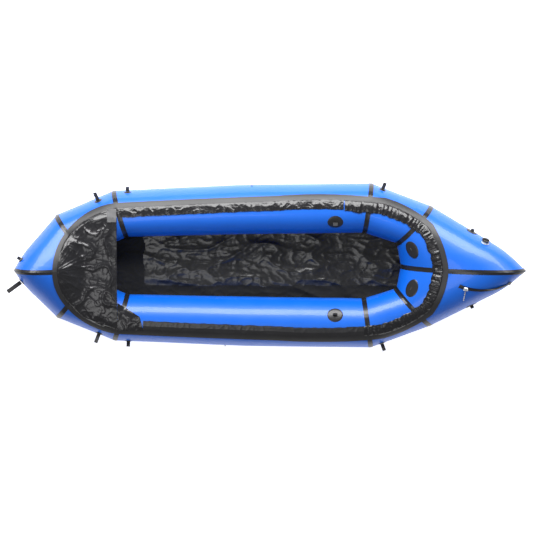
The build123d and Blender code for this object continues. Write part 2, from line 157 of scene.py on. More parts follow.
# ---------------------------------------------------------------- floor
FLOOR_EDGE = [
    (-1.150, 0.0), (-1.110, 0.165), (-0.842, 0.290), (-0.150, 0.314),
    (0.546, 0.322), (0.800, 0.232), (0.900, 0.100), (0.915, 0.0),
]
FLOOR_MARGIN = 0.004    # how far inside the outline's ends the floor's end rows lie
FLOOR_ROWS = 330
FLOOR_COLUMNS = 110
FLOOR_GAP = 0.0015      # from the underside of the tubes down to the floor's edge
FLOOR_HELD = 0.12       # share of the half width over which the folds grow from the held edge
FLOOR_CREASES = [       # layers of height, scale, sharpness and stretch
    (0.010, 7, 1.6, (0.5, 1.4, 1.0)),
    (0.0030, 19, 2.6, (0.8, 1.2, 1.0)),
    (0.0011, 48, 2.4),
]
FLOOR_TAPE = (0.001, 0.028)
FLOOR_TAPE_STEP = 0.008
FLOOR_TAPE_LIFT = 0.0016
SHADE_FORWARD_LIMIT = -0.715  # forward and port limits of the glossy crinkled film on the floor; forward and to port of them the floor is painted shade, near-black and matte, standing for the shade under the deck and the port tube
SHADE_PORT_LIMIT = -0.135
SHADE_RAGGED = 0.03     # how far its edge strays
SHADE_RAGGED_SCALE = 14

# ---------------------------------------------------------------- loops and patches
PATCHES = {             # half-sizes of the patch along and across the webbing, and the webbing's width
    "bow_starboard": (0.016, 0.014, 0.018),
    "bow_port": (0.022, 0.018, 0.024),
    "bow_quarter": (0.022, 0.018, 0.020),
    "side": (0.020, 0.016, 0.020),
    "stern_quarter": (0.020, 0.016, 0.020),
    "stern": (0.034, 0.026, 0.020),
    "seat": (0.044, 0.040, 0.025),
    "backrest": (0.048, 0.038, 0.025),
}
PATCH_GROUPS = {"bow_starboard": "bow", "bow_port": "bow", "bow_quarter": "sides", "side": "sides",
                "stern_quarter": "sides", "stern": "stern", "seat": "seat", "backrest": "seat"}
LOOP_STRETCH = {"bow_port": 1.6}    # the long strap is shown longer than its solid
LOOP_DEPTH = 0.0064
LOOP_FOOT = 0.006       # from a loop's pivot down to the tube
LOOP_PINCH = (0.72, 0.28)  # share of a loop's bulge that is even, and share that moves to its tip
STRAP_INSET = 0.0016    # webbing thickness: the loop's middle surface lies half of it inside the outline
STRAP_THICKNESS = 0.0015
LOOP_ROWS = 7
LOOP_COLUMNS = 56
PATCH_LIFT = 0.0022
PATCH_EDGE_LIFT = 0.0003
PATCH_REACH = 0.06      # height over a patch from which the hull is looked for
PATCH_ROWS = 9
PATCH_COLUMNS = 64

# ---------------------------------------------------------------- zip
ZIP_ARC = [(1.050, -0.080), (1.210, -0.103), (1.345, -0.064)]
ZIP_TAPE = 0.021
ZIP_TAPER = 0.35        # share of the tape's width left at its far end, near the stern's edge
ZIP_POINTS = 60
ZIP_STEP = 0.004
ZIP_LIFT = 0.0022
ZIP_COLUMNS = 9

# ---------------------------------------------------------------- camera and light
CAMERA_TILT = radians(8.5)
CAMERA_REACH = 20.0
CAMERA_TARGET = Vector((-0.0225, -0.0056, 0.145))
CAMERA_LENS = 240       # millimetres, on a sensor 36 mm wide
CAMERA_SENSOR = 36
CAMERA_CLIP = 60
LIGHT_AIM = Vector((0, 0, 0.1))
SKY_STRENGTH = 0.26
GROUND = 30.0
GROUND_GLOW = 0.8


# ---------------------------------------------------------------- materials
def new_material(name):
    """An empty node material, its node maker, its linker and its shader."""
    made = bpy.data.materials.new(name)
    made.use_nodes = True
    tree = made.node_tree
    return made, tree.nodes.new, tree.links.new, tree.nodes["Principled BSDF"]


CLOUD_SCALE = 9.0
GLOSS_RANGE = (0.82, 1.18)  # lowest and highest roughness, as shares of the one given
THREAD_BANDS = 6.3      # bands of the wave texture in one unit of its scale
FOLD_SCALE = 0.6        # scale of the soft folds, as a share of the facets' scale
FACET_WARP = 0.06


def clouds(node, link, place, scale, detail=2.0):
    """A noise texture."""
    made = node("ShaderNodeTexNoise")
    made.inputs["Scale"].default_value = scale
    made.inputs["Detail"].default_value = detail
    link(place, made.inputs["Vector"])
    return made


def bump_over(node, link, normal, height, distance):
    """A texture's height as a bump, over the bumps made before it."""
    bump = node("ShaderNodeBump")
    bump.inputs["Distance"].default_value = distance
    link(height, bump.inputs["Height"])
    if normal:
        link(normal, bump.inputs["Normal"])
    return bump.outputs["Normal"]


def woven(node, link, place, normal, height, scale):
    """Bumps of diagonal threads."""
    threads = node("ShaderNodeTexWave")
    threads.bands_direction = "DIAGONAL"
    threads.inputs["Scale"].default_value = scale / THREAD_BANDS
    threads.inputs["Distortion"].default_value = 0.6
    link(place, threads.inputs["Vector"])
    return bump_over(node, link, normal, threads.outputs["Fac"], height)


def crinkled(node, link, place, normal, height, scale):
    """Bumps of a crinkled film: facets with warped edges, and soft folds over them."""
    bend = clouds(node, link, place, scale * FOLD_SCALE, detail=4.0)
    warp = node("ShaderNodeMix")
    warp.data_type = "RGBA"
    warp.inputs["Factor"].default_value = FACET_WARP
    link(place, warp.inputs["A"])
    link(bend.outputs["Color"], warp.inputs["B"])
    facets = node("ShaderNodeTexVoronoi")
    facets.feature = "F1"
    facets.inputs["Scale"].default_value = scale
    link(warp.outputs["Result"], facets.inputs["Vector"])
    normal = bump_over(node, link, normal, facets.outputs["Distance"], height)
    return bump_over(node, link, normal, bend.outputs["Fac"], height)


def tinted(node, link, cloud, colour, uneven):
    """A colour that turns a little darker and lighter with a noise texture."""
    tint = node("ShaderNodeMix")
    tint.data_type = "RGBA"
    link(cloud.outputs["Fac"], tint.inputs["Factor"])
    tint.inputs["A"].default_value = (*(c * (1 - uneven) for c in colour), 1)
    tint.inputs["B"].default_value = (*(min(1.0, c * (1 + uneven)) for c in colour), 1)
    return tint.outputs["Result"]


def surface(name, colour, roughness, uneven=0.25, grain=900.0, grain_height=0.00005,
            crinkle=0.0, crinkle_scale=30.0, weave=0.0, weave_scale=1800.0, metallic=0.0, coat=0.0,
            sheen=0.0, clear=0.0):
    """A procedural material: colour and gloss vary, and fine grain, weave and crinkles are bumps."""
    made, node, link, shader = new_material(name)
    place = node("ShaderNodeTexCoord").outputs["Object"]
    cloud = clouds(node, link, place, CLOUD_SCALE, detail=5.0)
    link(tinted(node, link, cloud, colour, uneven), shader.inputs["Base Color"])
    gloss = node("ShaderNodeMapRange")
    link(cloud.outputs["Fac"], gloss.inputs["Value"])
    gloss.inputs["To Min"].default_value = roughness * GLOSS_RANGE[0]
    gloss.inputs["To Max"].default_value = min(1.0, roughness * GLOSS_RANGE[1])
    link(gloss.outputs["Result"], shader.inputs["Roughness"])
    fine = clouds(node, link, place, grain)
    normal = bump_over(node, link, None, fine.outputs["Fac"], grain_height)
    if weave:
        normal = woven(node, link, place, normal, weave, weave_scale)
    if crinkle:
        normal = crinkled(node, link, place, normal, crinkle, crinkle_scale)
    link(normal, shader.inputs["Normal"])
    shader.inputs["Metallic"].default_value = metallic
    shader.inputs["Coat Weight"].default_value = coat
    shader.inputs["Sheen Weight"].default_value = sheen
    shader.inputs["Transmission Weight"].default_value = clear
    return made


BLUE = (0.001, 0.120, 0.64)
hull_cloth = surface("hull_cloth", BLUE, 0.40, uneven=0.05, weave=0.00003, weave_scale=1900, coat=0.25)
black_tape = surface("black_tape", (0.012, 0.012, 0.014), 0.28, grain=500, weave=0.00002)
rim_cloth = surface("rim_cloth", (0.020, 0.020, 0.022), 0.42, grain=400, grain_height=0.00008)
deck_film = surface("deck_film", (0.010, 0.010, 0.012), 0.25, crinkle=0.0007, crinkle_scale=24, coat=0.1)
floor_film = surface("floor_film", (0.012, 0.012, 0.013), 0.29, crinkle=0.0006, crinkle_scale=18, coat=0.1)
# Painted shade: a near-black matte floor finish for where the floor lies in shade under the deck and the
# port tube
floor_painted_shade = surface("floor_painted_shade", (0.004, 0.004, 0.004), 0.85, grain=500, weave=0.00003)
patch_cloth = surface("patch_cloth", (0.016, 0.016, 0.018), 0.32, grain=500, weave=0.00003)
webbing = surface("webbing", (0.014, 0.014, 0.016), 0.62, weave=0.0002, weave_scale=700, sheen=0.3)
tab_cloth = surface("tab_cloth", (0.12, 0.12, 0.125), 0.80, grain=900, grain_height=0.0004, sheen=0.4)
zip_cloth = surface("zip_cloth", (0.012, 0.012, 0.014), 0.34, weave=0.00004, weave_scale=900)
tooth_plastic = surface("tooth_plastic", (0.03, 0.03, 0.033), 0.40)
dock_plastic = surface("dock_plastic", (0.03, 0.03, 0.033), 0.36, grain=300)
slider_metal = surface("slider_metal", (0.80, 0.81, 0.82), 0.24, uneven=0.08, metallic=1.0, grain=700)
bead_grey = surface("bead_grey", (0.34, 0.35, 0.37), 0.5, grain=600)
valve_blue = surface("valve_blue", (0.006, 0.16, 0.72), 0.30, uneven=0.06, grain=400)
valve_clear = surface("valve_clear", (0.70, 0.76, 0.82), 0.20, uneven=0.06, clear=0.35, grain=300)
valve_black = surface("valve_black", (0.014, 0.014, 0.016), 0.30, grain=500)
black_rubber = surface("black_rubber", (0.02, 0.02, 0.02), 0.60, grain=800)


# ---------------------------------------------------------------- mesh helpers
def merge_grids(grids, wrap=False):
    """Vertices, faces and face-corner coordinates of one or more rows-by-columns point grids."""
    points = []
    faces = []
    corners = []
    for grid in grids:
        rows, columns = grid.shape[:2]
        base = len(points)
        points += [tuple(p) for p in grid.reshape(-1, 3)]
        down = np.linalg.norm(np.diff(grid, axis=0), axis=2).mean() if rows > 1 else 0
        right = np.linalg.norm(np.diff(grid, axis=1), axis=2).mean()
        for row in range(rows - 1):
            for column in range(columns if wrap else columns - 1):
                after = (column + 1) % columns
                square = [(row, column), (row, after), (row + 1, after), (row + 1, column)]
                faces.append([base + r * columns + c for r, c in square])
                flat = [(row, column), (row, column + 1), (row + 1, column + 1), (row + 1, column)]
                corners += [(c * right, r * down) for r, c in flat]
    return points, faces, corners


def grid_piece(name, grids, material, body="hull", nodes=(), thickness=0.0, wrap=False,
               outwards=1.0):
    """A smooth piece made of point grids, thickened when a thickness is given, that stands for CAD nodes.
    """
    points, faces, corners = merge_grids(grids, wrap)
    mesh = bpy.data.meshes.new(name)
    mesh.from_pydata(points, [], faces)
    plan = mesh.uv_layers.new(name="cloth")
    for loop, corner in zip(plan.data, corners):
        loop.uv = corner
    mesh.polygons.foreach_set("use_smooth", [True] * len(faces))
    mesh.materials.append(material)
    piece = bpy.data.objects.new(name, mesh)
    bpy.context.scene.collection.objects.link(piece)
    if thickness:
        shell = piece.modifiers.new("thickness", "SOLIDIFY")
        shell.thickness = thickness
        shell.offset = outwards
    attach(piece, body)
    if nodes:
        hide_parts(*nodes)
    return piece


def wrinkle(points, scale, sharp):
    """Crinkled heights between 0 and 1 at points: the ridges are sharp where sharp is near 1."""
    soft = np.array([noise.noise(Vector(p) * scale) for p in points])
    return (1 - np.abs(soft) * 2).clip(0, 1) ** sharp


def wrinkle_grid(grid, scale, sharp, stretch_by=(1.0, 1.0, 1.0)):
    """Crinkled heights over a point grid."""
    flat = grid.reshape(-1, 3) * np.array(stretch_by)
    return wrinkle(flat, scale, sharp).reshape(grid.shape[:2])


def creases(grid, layers):
    """Crease heights over a point grid: the sum of layers of height, scale, sharpness and stretch."""
    return sum(height * wrinkle_grid(grid, *layer) for height, *layer in layers)


def round_about(heights):
    """Mean height of the four neighbours of each inner point of a grid."""
    return (heights[:-2, 1:-1] + heights[2:, 1:-1] + heights[1:-1, :-2] + heights[1:-1, 2:]) / 4


# ---------------------------------------------------------------- hull
def ring(station, side, turn):
    """Points on a station's ellipse; turn runs from the outer edge over the top."""
    outer, inner, height, rise, half_height = STATIONS[station]
    across = np.array(((outer[0] - inner[0]) / 2, side * (outer[1] - inner[1]) / 2, rise))
    middle = np.array(((outer[0] + inner[0]) / 2, side * (outer[1] + inner[1]) / 2, height))
    level = hypot(across[0], across[1])
    up = np.array((-across[0] * rise / level, -across[1] * rise / level, level))
    up *= half_height / np.linalg.norm(up)
    return middle + np.cos(turn)[..., None] * across + np.sin(turn)[..., None] * up


def panel_spots(panel):
    """Distances of a panel's stations along its outer edge."""
    outer = [complex(*STATIONS[name][0]) for name in PANELS[panel]]
    return np.concatenate(([0.0], np.cumsum([abs(b - a) for a, b in zip(outer, outer[1:])])))


def bare_skin(panel, side, along, turn):
    """The panel's surface: straight from station to station, rounded off over the one in the middle."""
    spots = panel_spots(panel)
    reach = np.minimum(BLEND, np.minimum(along, spots[-1] - along).clip(0))
    surface_points = 0
    for index, station in enumerate(PANELS[panel]):
        own_share = np.eye(len(spots))[index]
        weights = [np.interp(along + reach * part, spots, own_share) for part in BLEND_PARTS]
        share = np.mean(weights, axis=0)[..., None]
        surface_points = surface_points + share * ring(station, side, turn)
    return surface_points


def skin(panel, side, along, turn, lift=0.0):
    """The inflated surface with its puckers and slow waviness, moved outwards by lift."""
    along, turn = np.broadcast_arrays(np.asarray(along, float), np.asarray(turn, float))
    length = panel_spots(panel)[-1]
    step = np.where(along > length / 2, -SKIN_STEP, SKIN_STEP)
    here = bare_skin(panel, side, along, turn)
    normal = np.cross(
        bare_skin(panel, side, along + step, turn) - here,
        bare_skin(panel, side, along, turn + step) - here,
    )
    normal *= -side / np.linalg.norm(normal, axis=-1)[..., None]
    from_seam = np.minimum(along, length - along).clip(0)
    drift, waves = PUCKER_DRIFT
    pucker = PUCKER * np.cos(PUCKERS_ROUND * turn + drift * np.sin(waves * turn))
    pucker = pucker * np.exp(-from_seam / PUCKER_REACH)
    slow = [noise.noise(Vector(p) * UNEVEN_SCALE) for p in here.reshape(-1, 3)]
    slow = UNEVEN * np.array(slow).reshape(along.shape)
    return here + normal * (lift + pucker + slow)[..., None]


def turns(side):
    """Turns all round a tube, in the order that makes its faces look outwards."""
    return side * np.linspace(0, 2 * pi, HULL_COLUMNS, endpoint=False)[None, :]


hull_points = []
hull_faces = []
for panel in PANELS:
    for side_name, side in SIDES.items():
        along = np.linspace(0, panel_spots(panel)[-1], HULL_ROWS)
        grid = skin(panel, side, along[:, None], turns(side))
        name = f"hull_{panel}_{side_name}"
        tube = grid_piece(f"tube_{panel}_{side_name}", [grid], hull_cloth, nodes=[name],
                          wrap=True)
        points, faces, _ = merge_grids([grid], wrap=True)
        hull_faces += [[len(hull_points) + corner for corner in face] for face in faces]
        hull_points += points
hull_skin = BVHTree.FromPolygons(hull_points, hull_faces)


def seam_grid(panel, side, at_end):
    """Half of a seam tape: the strip of one panel next to its first or last station."""
    length = panel_spots(panel)[-1]
    seam, inside = (length, length - SEAM_PROBE) if at_end else (0.0, SEAM_PROBE)
    station = PANELS[panel][-1 if at_end else 0]
    at_seam = bare_skin(panel, side, np.full(HULL_COLUMNS, seam), turns(side)[0])
    nearby = bare_skin(panel, side, np.full(HULL_COLUMNS, inside), turns(side)[0])
    outer, inner = (np.array(end) for end in STATIONS[station][:2])
    facing = np.array((side * (outer - inner)[1], -(outer - inner)[0], 0.0))
    pace = np.abs((nearby - at_seam) @ facing) / np.linalg.norm(facing) / SEAM_PROBE
    reach = np.minimum(SEAM_WIDTH / 2 / pace, length)
    shares = np.linspace(1, 0, SEAM_ROWS) if at_end else np.linspace(0, 1, SEAM_ROWS)
    along = shares[:, None] * reach[None, :]
    along = length - along if at_end else along
    return skin(panel, side, along, np.repeat(turns(side), SEAM_ROWS, axis=0), SEAM_LIFT)


SEAMS = {"bow_corner": ("bow", "bow_quarter"), "bow_quarter": ("bow_quarter", "side"),
         "stern_quarter": ("side", "stern_quarter"), "stern_corner": ("stern_quarter", "stern")}
for seam, (forward, aft) in SEAMS.items():
    for side_name, side in SIDES.items():
        halves = [seam_grid(forward, side, True), seam_grid(aft, side, False)]
        node = f"seam_tape_{seam}_{side_name}"
        grid_piece(f"tape_{seam}_{side_name}", halves, black_tape, nodes=[node], wrap=True)
for end, at_end in (("bow", False), ("stern", True)):
    halves = [seam_grid(end, side, at_end) for side in SIDES.values()]
    grid_piece(f"tape_{end}", halves, black_tape, nodes=[f"seam_tape_{end}"], wrap=True)


# ---------------------------------------------------------------- rim and skirts
def arc_through(first, middle, last, count):
    """Points of the plan arc through three points, as complex numbers, the last left out."""
    a, b, c = complex(*first), complex(*middle), complex(*last)
    ratio = (c - a) / (b - a)
    centre = a - (a - b) * (ratio - abs(ratio) ** 2) / (2j * ratio.imag)
    sweep = phase((c - centre) / (a - centre))
    return [centre + (a - centre) * turned(1j * sweep * step / count) for step in range(count)]


def even_line(points, spacing):
    """The same line with its points at even distances."""
    points = np.array(points)
    run = np.concatenate(([0], np.cumsum(np.abs(np.diff(points)))))
    spots = np.linspace(0, run[-1], int(run[-1] / spacing) + 1)
    return np.interp(spots, run, points.real) + 1j * np.interp(spots, run, points.imag)


starboard_rim = []
for first, middle, last in zip(RIM_ARCS[::2], RIM_ARCS[1::2], RIM_ARCS[2::2]):
    starboard_rim += arc_through(first, middle, last, ARC_POINTS)
starboard_rim.append(complex(*RIM_ARCS[-1]))
port_rim = [point.conjugate() for point in reversed(starboard_rim)][1:]
rim_line = even_line(starboard_rim + port_rim, RIM_STEP)
rim_heading = np.roll(rim_line, -1) - np.roll(rim_line, 1)
rim_heading[[0, -1]] = 1j
rim_inwards = -1j * rim_heading / np.abs(rim_heading)


BESIDE_HULL = 0.36      # height from which a plan point off the hull's edge looks for it
NUDGES = (0, 0.001j, -0.001j, 0.001, -0.001, 0.002, -0.002)


def hull_hit(point, aim):
    """Where an upright ray through a plan point first meets the hull, and the outward normal there.

    A ray may slip in between two panels, so it is tried again a millimetre away."""
    for nudge in NUDGES:
        tried = point + nudge
        start = Vector((tried.real, tried.imag, -aim))
        hit, normal, _, _ = hull_skin.ray_cast(start, Vector((0, 0, aim)))
        if hit and normal.z * aim < 0:
            return hit, normal
    return None, None


def lay_on_hull(plan, lift, upwards=True):
    """Plan points, as complex numbers, dropped onto the hull's top or underside."""
    laid = np.zeros((*plan.shape, 3))
    aim = -1 if upwards else 1
    for spot in np.ndindex(plan.shape):
        height = lift[spot] if isinstance(lift, np.ndarray) else lift
        hit, normal = hull_hit(plan[spot], aim)
        if not hit:
            beside = Vector((plan[spot].real, plan[spot].imag, BESIDE_HULL))
            hit, normal, _, _ = hull_skin.find_nearest(beside)
        laid[spot] = hit + normal * height
    return laid


rim_plan = rim_line[:, None] + rim_inwards[:, None] * np.linspace(0, RIM_WIDTH, RIM_COLUMNS)[None, :]
rim_grid = lay_on_hull(rim_plan, RIM_LIFT)
rim = grid_piece("rim_band", [rim_grid], rim_cloth, nodes=["rim_tape"])


def rim_index(x, side):
    """Where the rim line passes x on one side of the boat."""
    on_side = rim_line.imag * side > 0
    return int(np.argmin(np.where(on_side, np.abs(rim_line.real - x), 9)))


def skirt_plan(name):
    """Plan of a skirt, whose free edge wanders a little, and each column's share of its width."""
    (x_start, side_start), (x_end, side_end) = SKIRT_RUNS[name]
    run = slice(rim_index(x_start, side_start), rim_index(x_end, side_end) + 1)
    across = np.linspace(*SKIRT_EDGES[name], SKIRT_COLUMNS)
    share = (across - across[0]) / (across[-1] - across[0])
    spots = even_line(rim_line[run], SKIRT_STEP)
    order = np.linspace(0, 1, len(spots))
    source = np.linspace(0, 1, len(rim_line[run]))
    inwards = 1j * np.interp(order, source, rim_inwards[run].imag)
    inwards = inwards + np.interp(order, source, rim_inwards[run].real)
    wander = [noise.noise(Vector((s * WANDER_PACE, NOISE_ROWS["wander"], 0))) for s in range(len(spots))]
    wander = np.array(wander) * SKIRT_WANDER[name]
    plan = spots[:, None] + inwards[:, None] * (across[None, :] + wander[:, None] * share[None, :] ** 2)
    return plan, share


def skirt_height(name, flat, share):
    """How far a skirt's creases, gathers and piping stand off the tubes."""
    height = creases(flat, SKIRT_CREASES) * SKIRT_CREASED[name]
    if name == "skirt_stern":
        run_length = np.arange(len(flat)) * SKIRT_STEP
        row = NOISE_ROWS["gathers"]
        gathers = np.array([noise.noise(Vector((s * GATHER_PACE, row, 0))) for s in run_length])
        height = height + GATHER_HEIGHT * (0.5 + gathers)[:, None].clip(0, 1)
    if name == "skirt_port":
        piping = np.exp(-((share - 0.5) / PIPING_WIDTH) ** 2)
        height = height + PIPING_HEIGHT * piping[None, :]
    return height


for name in SKIRT_RUNS:
    plan, share = skirt_plan(name)
    flat = lay_on_hull(plan, SKIRT_LIFT)
    belly = np.sin(pi * share.clip(0, 1)) ** 0.5
    loose = belly * (1 - SKIRT_EDGE_LOOSE) + SKIRT_EDGE_LOOSE * share
    lifted = lay_on_hull(plan, SKIRT_LIFT + skirt_height(name, flat, share) * loose[None, :])
    cloth = patch_cloth if name == "skirt_port" else deck_film
    skirt = grid_piece(f"{name}_cloth", [lifted], cloth, nodes=[name])


# ---------------------------------------------------------------- bow deck
def node_skin(*names):
    """Search tree over the surfaces of CAD nodes."""
    points = []
    faces = []
    for name in names:
        mesh = frame["nodes"][name].data
        faces += [[len(points) + corner for corner in face.vertices] for face in mesh.polygons]
        points += [tuple(vertex.co) for vertex in mesh.vertices]
    return BVHTree.FromPolygons(points, faces)


def height_over(tree, point, fallback):
    """Height of the first surface met from above a plan point."""
    hit = tree.ray_cast(Vector((point.real, point.imag, 1)), Vector((0, 0, -1)))[0]
    return hit.z if hit else fallback


deck_start = rim_index(DECK_AFT, -1)
deck_end = rim_index(DECK_AFT, 1)
bow_rim = np.concatenate((rim_line[deck_start:-1], rim_line[:deck_end + 1]))
bow_inwards = np.concatenate((rim_inwards[deck_start:-1], rim_inwards[:deck_end + 1]))
deck_edge = even_line(bow_rim + bow_inwards * DECK_TUCK, DECK_STEP)
aft_edge = np.linspace(deck_edge[0], deck_edge[-1], len(deck_edge))
share = np.linspace(0, 1, DECK_ROWS)[:, None]
deck_plan = aft_edge[None, :] * (1 - share) + deck_edge[None, :] * share
deck_skin = node_skin("bow_deck")
deck_grid = np.zeros((*deck_plan.shape, 3))
for spot in np.ndindex(deck_plan.shape):
    point = complex(min(deck_plan[spot].real, DECK_AFT - 0.001), deck_plan[spot].imag)
    on_hull, _ = hull_hit(point, -1)
    over_hull = on_hull.z + DECK_LIFT if on_hull else 0.0
    over_deck = height_over(deck_skin, point, 0.0)
    deck_grid[spot] = (point.real, point.imag, max(over_hull, over_deck))
for _ in range(DECK_SMOOTHING):
    inner = deck_grid[1:-1, 1:-1, 2]
    deck_grid[1:-1, 1:-1, 2] = np.maximum(inner, round_about(deck_grid[..., 2]))
apex = np.array((RIM_ARCS[0][0] + FAN_APEX, 0.0))
from_apex = deck_grid[..., :2] - apex
reach = np.linalg.norm(from_apex, axis=2)
bearing = np.arctan2(from_apex[..., 1], from_apex[..., 0])
fan_row = np.full_like(reach, NOISE_ROWS["fan"])
fan_points = np.stack((bearing * FAN_PACE[0], reach * FAN_PACE[1], fan_row), axis=-1)
fan = wrinkle_grid(fan_points, 1.0, FAN_SHARPNESS)
slack = np.minimum(1, (1 - share) / DECK_HELD) * np.minimum(1, DECK_HEM[0] + share / DECK_HEM[1])
folds = FAN_HEIGHT * fan * np.exp(-reach / FAN_FADE)
deck_grid[..., 2] += slack * (creases(deck_grid, DECK_CREASES) + folds)
deck = grid_piece("deck_cloth", [deck_grid], deck_film, nodes=["bow_deck"])

band_share = np.linspace(0, 1, BAND_ROWS)[:, None]
band_x = DECK_AFT - BAND_SETBACK - band_share * BAND_WIDTH
band_plan = band_x + 1j * np.imag(aft_edge)[None, :] * BAND_SPAN
deck_now = BVHTree.FromPolygons(*merge_grids([deck_grid])[:2])
band_grid = np.zeros((*band_plan.shape, 3))
for spot in np.ndindex(band_plan.shape):
    point = band_plan[spot]
    fallback = height_over(hull_skin, point, DECK_LEVEL)
    band_grid[spot] = (point.real, point.imag, height_over(deck_now, point, fallback) + BAND_LIFT)
band = grid_piece("deck_band", [band_grid], black_tape, nodes=["deck_edge_band"])


# ---------------------------------------------------------------- floor
floor_edge = np.array(FLOOR_EDGE)
floor_x = np.linspace(floor_edge[0, 0] + FLOOR_MARGIN, floor_edge[-1, 0] - FLOOR_MARGIN, FLOOR_ROWS)
floor_half = np.interp(floor_x, floor_edge[:, 0], floor_edge[:, 1])
floor_across = np.linspace(-1, 1, FLOOR_COLUMNS)[None, :]
floor_plan = floor_x[:, None] + 1j * floor_half[:, None] * floor_across
floor_skin = node_skin("floor")
floor_grid = np.zeros((*floor_plan.shape, 3))
for row in range(len(floor_x)):
    under_tube, _ = hull_hit(complex(floor_x[row], floor_half[row]), 1)
    lowest = under_tube.z - FLOOR_GAP if under_tube else 0.0
    for column in range(floor_plan.shape[1]):
        point = floor_plan[row, column]
        height = max(height_over(floor_skin, point, 0.0), lowest)
        floor_grid[row, column] = (point.real, point.imag, height)
loose = np.minimum(1, (1 - np.abs(floor_across)) / FLOOR_HELD)
floor_grid[..., 2] += loose * creases(floor_grid, FLOOR_CREASES)
floor = grid_piece("floor_cloth", [floor_grid], floor_film, nodes=["floor"])
# Painted shade: faces forward of and to port of the limits get the near-black matte finish, standing for
# the shade under the deck and the port tube
floor.data.materials.append(floor_painted_shade)
for face in floor.data.polygons:
    x, y, _ = face.center
    ragged = SHADE_RAGGED * noise.noise(face.center * SHADE_RAGGED_SCALE)
    if x + ragged < SHADE_FORWARD_LIMIT or y + ragged * 0.3 < SHADE_PORT_LIMIT:
        face.material_index = 1

starboard_floor = [complex(*point) for point in FLOOR_EDGE]
port_floor = [point.conjugate() for point in reversed(starboard_floor)][1:]
floor_line = even_line(starboard_floor + port_floor, FLOOR_TAPE_STEP)
floor_heading = np.roll(floor_line, -1) - np.roll(floor_line, 1)
floor_heading[[0, -1]] = 1j
floor_outwards = 1j * floor_heading / np.abs(floor_heading)
tape_plan = floor_line[:, None] + floor_outwards[:, None] * np.linspace(*FLOOR_TAPE, 5)[None, :]
tape_grid = lay_on_hull(tape_plan, FLOOR_TAPE_LIFT, upwards=False)
grid_piece("floor_band", [tape_grid], black_tape, nodes=["floor_tape"])


# ---------------------------------------------------------------- gusset and tab
def corner_grid(corners, rows, columns):
    """Plan grid between four corners, given round the quadrilateral, as complex numbers."""
    a, b, c, d = (complex(*corner) for corner in corners)
    down = np.linspace(0, 1, rows)[:, None]
    right = np.linspace(0, 1, columns)[None, :]
    return (a * (1 - down) + b * down) * (1 - right) + (d * (1 - down) + c * down) * right


gusset_plan = corner_grid(GUSSET, *GUSSET_GRID)
gusset_grid = np.zeros((*gusset_plan.shape, 3))
for spot in np.ndindex(gusset_plan.shape):
    point = gusset_plan[spot]
    on_hull = hull_hit(point, -1)[0].z + GUSSET_LIFT
    away = spot[0] / (gusset_plan.shape[0] - 1)
    gusset_grid[spot] = (point.real, point.imag, on_hull + (GUSSET_HEIGHT - on_hull) * (1 - away) ** 2)
gusset_grid[..., 2] += creases(gusset_grid, GUSSET_CREASES)
gusset = grid_piece("gusset_cloth", [gusset_grid], deck_film, nodes=["deck_gusset"])

tab_low, tab_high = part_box("deck_tab")
tab_plan = corner_grid([(tab_low[0], tab_low[1]), (tab_high[0], tab_low[1]),
                        (tab_high[0], tab_high[1]), (tab_low[0], tab_high[1])], *TAB_GRID)
tab_grid = np.zeros((*tab_plan.shape, 3))
for spot in np.ndindex(tab_plan.shape):
    point = tab_plan[spot]
    under = max(height_over(deck_now, point, 0.0), height_over(deck_skin, point, DECK_LEVEL))
    tab_grid[spot] = (point.real, point.imag, under + TAB_LIFT)
for _ in range(TAB_SMOOTHING):
    tab_grid[1:-1, 1:-1, 2] = round_about(tab_grid[..., 2])
tab = grid_piece("deck_tab_cloth", [tab_grid], tab_cloth, body="deck_tab", nodes=["deck_tab"],
                 thickness=TAB_THICKNESS)


# ---------------------------------------------------------------- patches and loops
def fitting_frame(joint, mounts):
    """A loop's pivot, its webbing's direction, the way it stands, the way it swings, and its length."""
    pivot = Vector(joint["pos_m"])
    along = Vector(joint["axis"]).normalized()
    mount = mounts[joint["child"].replace("loop_", "tie_")]
    stands = Vector(mount["axis"]).normalized()
    reach = (Vector(mount["pos_m"]) - pivot).length + LOOP_DEPTH
    return pivot, along, stands, along.cross(stands), reach


def patch_grid(centre, along, across, stands, half_sizes):
    """An oval of cloth laid on the hull, its edge turned down onto it."""
    grid = np.zeros((PATCH_ROWS, PATCH_COLUMNS, 3))
    for row, radius in enumerate(np.linspace(0.0, 1.0, PATCH_ROWS) ** 0.6):
        for column, turn in enumerate(np.linspace(0, 2 * pi, PATCH_COLUMNS, endpoint=False)):
            shift = along * (half_sizes[0] * cos(turn)) + across * (half_sizes[1] * sin(turn))
            above = centre + shift * radius + stands * PATCH_REACH
            hit, normal, _, _ = hull_skin.ray_cast(above, -stands)
            hit, normal = (hit, normal) if hit else (centre + shift * radius, stands)
            grid[row, column] = hit + normal * (PATCH_LIFT * (1 - radius ** 14) + PATCH_EDGE_LIFT)
    return grid


def loop_grid(pivot, along, stands, swings, width, reach):
    """Webbing bent into a flat loop that is pinched where it is sewn down."""
    grid = np.zeros((LOOP_ROWS, LOOP_COLUMNS, 3))
    half_reach = (reach - STRAP_INSET) / 2
    middle = pivot + stands * (half_reach - LOOP_DEPTH / 2 + STRAP_INSET / 2)
    even, to_tip = LOOP_PINCH
    for column, turn in enumerate(np.linspace(0, 2 * pi, LOOP_COLUMNS, endpoint=False)):
        bulge = (LOOP_DEPTH - STRAP_INSET) / 2 * sin(turn) * (even + to_tip * cos(turn))
        spot = middle + stands * (half_reach * cos(turn)) + swings * bulge
        for row, share in enumerate(np.linspace(-0.5, 0.5, LOOP_ROWS)):
            grid[row, column] = spot + along * (width * share)
    return grid


